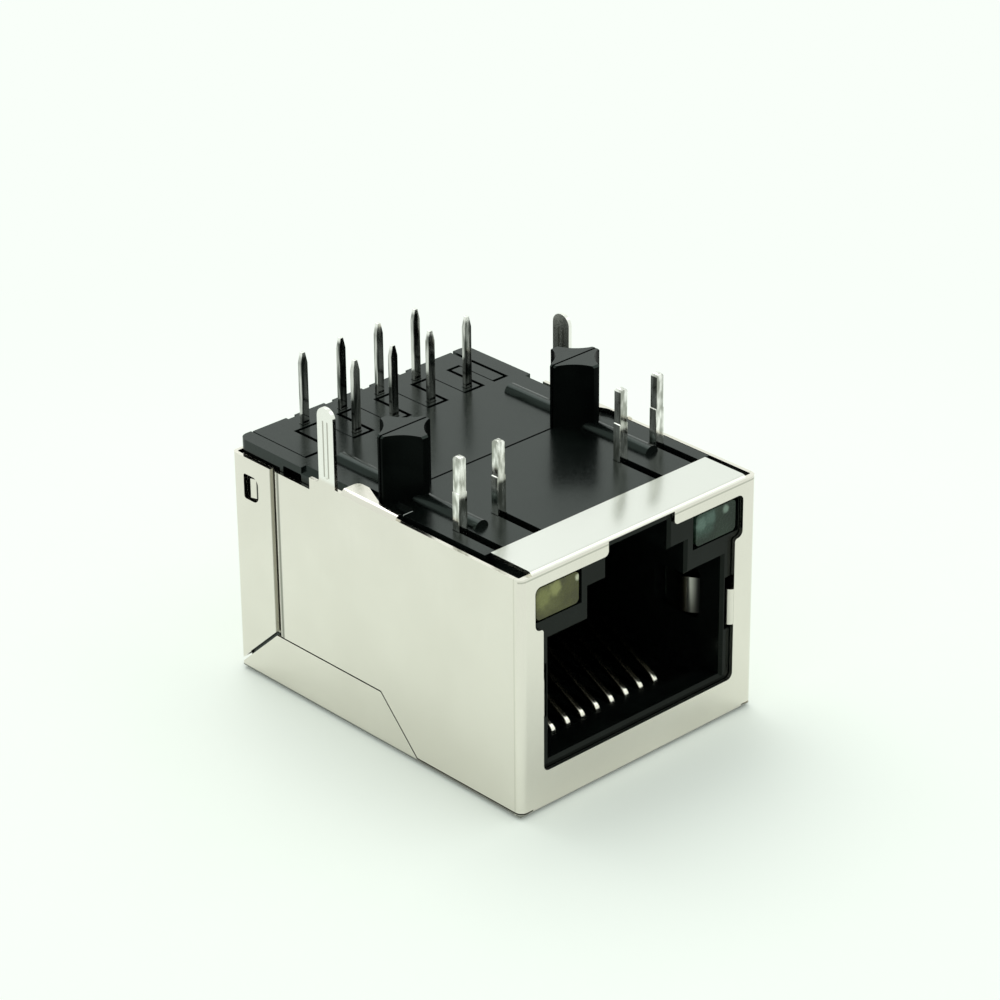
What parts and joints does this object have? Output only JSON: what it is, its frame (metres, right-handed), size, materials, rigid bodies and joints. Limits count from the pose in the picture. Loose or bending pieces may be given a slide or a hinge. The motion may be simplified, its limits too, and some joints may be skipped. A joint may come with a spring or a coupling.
{
  "type": "modular network jack",
  "caption": "Shielded right-angle board jack for an eight-wire network plug, with two indicator lamps, locating posts and board pins.",
  "frame": {"origin": "middle of the footprint, on the flat panel of the shield that it rests on", "axes": "+Z from the resting panel to the board side with the pins; the mouth faces -Y; +X across the mouth"},
  "size_m": [0.0162, 0.0212, 0.0174],
  "materials": {
    "plated_sheet": "satin nickel plating",
    "black_moulding": "fine satin",
    "laminate": "satin",
    "gold_wire": "polished gold plating",
    "tinned_pin": "bright tin plating",
    "tinned_lead": "bright tin plating",
    "lamp_amber": "clear tinted",
    "lamp_green": "clear tinted",
    "ferrite": "matte",
    "enamelled_wire": "varnished",
    "chip_ceramic": "matte"
  },
  "bodies": {
    "root": {"shield": "plated_sheet", "front_housing": "black_moulding", "rear_housing": "black_moulding", "pin_block": "black_moulding", "contact_carrier": "black_moulding", "tail_spacer": "black_moulding", "circuit_board": "laminate", "contact_1": "gold_wire", "contact_2": "gold_wire", "contact_3": "gold_wire", "contact_4": "gold_wire", "contact_5": "gold_wire", "contact_6": "gold_wire", "contact_7": "gold_wire", "contact_8": "gold_wire", "signal_pin_1": "tinned_pin", "signal_pin_2": "tinned_pin", "signal_pin_3": "tinned_pin", "signal_pin_4": "tinned_pin", "signal_pin_5": "tinned_pin", "signal_pin_6": "tinned_pin", "signal_pin_7": "tinned_pin", "signal_pin_8": "tinned_pin", "led_left": "lamp_amber", "led_right": "lamp_green", "led_left_inner_lead": "tinned_lead", "led_left_outer_lead": "tinned_lead", "led_right_inner_lead": "tinned_lead", "led_right_outer_lead": "tinned_lead", "transformer_core_left": "ferrite", "transformer_core_right": "ferrite", "choke_core_left": "ferrite", "choke_core_right": "ferrite", "transformer_winding_left": "enamelled_wire", "transformer_winding_right": "enamelled_wire", "choke_winding_left": "enamelled_wire", "choke_winding_right": "enamelled_wire", "resistor_1": "chip_ceramic", "resistor_2": "chip_ceramic", "resistor_3": "chip_ceramic", "resistor_4": "chip_ceramic", "capacitor": "chip_ceramic"}
  },
  "joints": []
}
